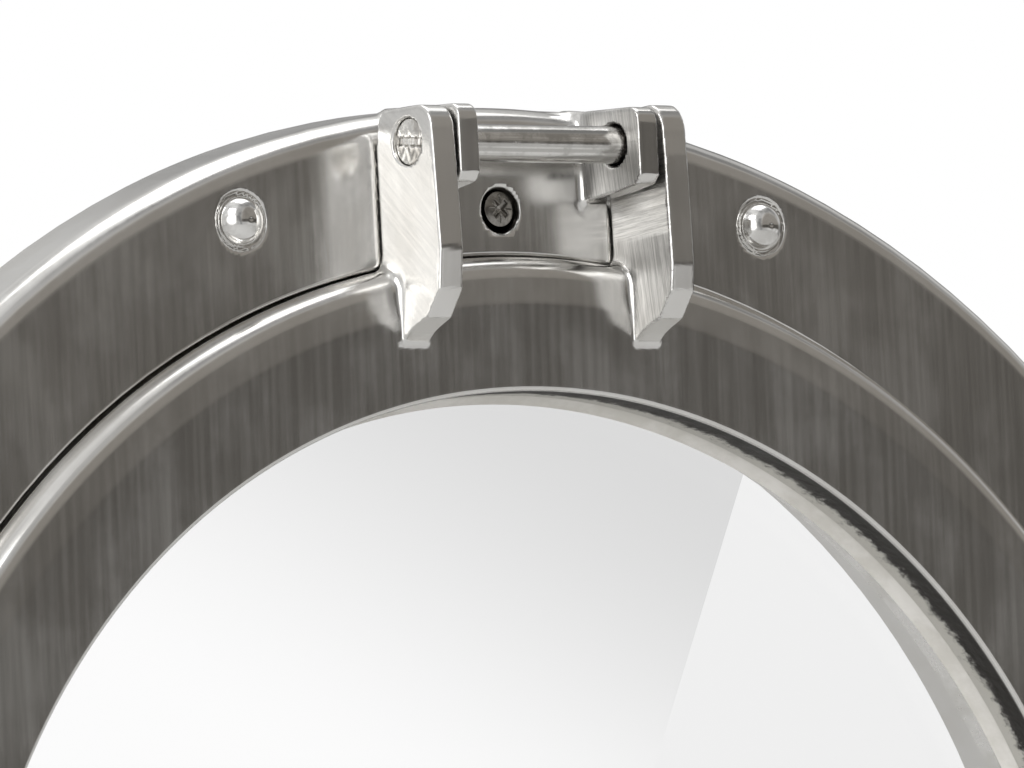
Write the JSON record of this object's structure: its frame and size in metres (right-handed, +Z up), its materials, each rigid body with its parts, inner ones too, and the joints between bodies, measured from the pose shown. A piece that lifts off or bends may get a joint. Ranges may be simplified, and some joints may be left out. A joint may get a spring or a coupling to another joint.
{
  "type": "opening porthole",
  "caption": "Round opening porthole: a cast frame with a glazed door on a top hinge, clamped shut by two swing-bolt dogs with ear nuts.",
  "frame": {"origin": "centre of the flange's back face, which lies on the hull or cabin side", "axes": "+Y into the wall along the porthole's axis, +Z up towards the hinge, front faces -Y"},
  "size_m": [0.38, 0.0727, 0.38],
  "materials": {
    "frame_casting": "polished casting",
    "door_casting": "polished casting with a rough inner wall",
    "bright_fixings": "polished",
    "dark_screw": "darkened steel",
    "machined_ring": "turned, matt",
    "small_screws": "plain steel",
    "pin_steel": "turned and polished along its length",
    "dog_fittings": "polished",
    "rubber": "matt black",
    "sealant": "smooth light grey glazing sealant",
    "glass": "clear toughened glass"
  },
  "bodies": {
    "frame": {"frame_ring": "frame_casting", "hull_seal": "rubber", "dome_screws": "bright_fixings", "hinge_screw": "dark_screw", "dog_pivot_left": "dog_fittings", "dog_pivot_right": "dog_fittings"},
    "door": {"door_ring": "door_casting", "door_gasket": "rubber", "glass_pane": "glass", "glass_bedding": "sealant", "glass_retainer": "machined_ring", "retainer_screws": "small_screws", "hinge_pin": "pin_steel", "hinge_pin_screws": "bright_fixings"},
    "dog_left": {"dog_bolt_left": "dog_fittings", "dog_end_cap_left": "dog_fittings"},
    "washer_left": {"dog_washer_left": "dog_fittings"},
    "nut_left": {"dog_nut_left": "dog_fittings"},
    "dog_right": {"dog_bolt_right": "dog_fittings", "dog_end_cap_right": "dog_fittings"},
    "washer_right": {"dog_washer_right": "dog_fittings"},
    "nut_right": {"dog_nut_right": "dog_fittings"}
  },
  "joints": [
    {"name": "door_hinge", "type": "hinge", "parent": "frame", "child": "door", "pos_m": [0, -0.0273, 0.1805], "axis": [-1, 0, 0], "range_deg": [0, 175]},
    {"name": "dog_swing_left", "type": "hinge", "parent": "frame", "child": "dog_left", "pos_m": [-0.15199, -0.0245, -0.08775], "axis": [-0.5, 0, 0.866], "range_deg": [0, 60]},
    {"name": "washer_slide_left", "type": "slide", "parent": "dog_left", "child": "washer_left", "axis": [0.75, 0.5, 0.433], "range_m": [0, 0.006]},
    {"name": "nut_spin_left", "type": "hinge", "parent": "washer_left", "child": "nut_left", "pos_m": [-0.15199, -0.0245, -0.08775], "axis": [0.75, 0.5, 0.433], "range_deg": [0, 1440]},
    {"name": "dog_swing_right", "type": "hinge", "parent": "frame", "child": "dog_right", "pos_m": [0.15199, -0.0245, -0.08775], "axis": [-0.5, 0, -0.866], "range_deg": [0, 60]},
    {"name": "washer_slide_right", "type": "slide", "parent": "dog_right", "child": "washer_right", "axis": [-0.75, 0.5, 0.433], "range_m": [0, 0.006]},
    {"name": "nut_spin_right", "type": "hinge", "parent": "washer_right", "child": "nut_right", "pos_m": [0.15199, -0.0245, -0.08775], "axis": [-0.75, 0.5, 0.433], "range_deg": [0, 1440]}
  ],
  "couplings": [
    {"joint": "nut_spin_left", "follows": "washer_slide_left", "rad_per_m": 4188.8},
    {"joint": "nut_spin_right", "follows": "washer_slide_right", "rad_per_m": 4188.8}
  ]
}
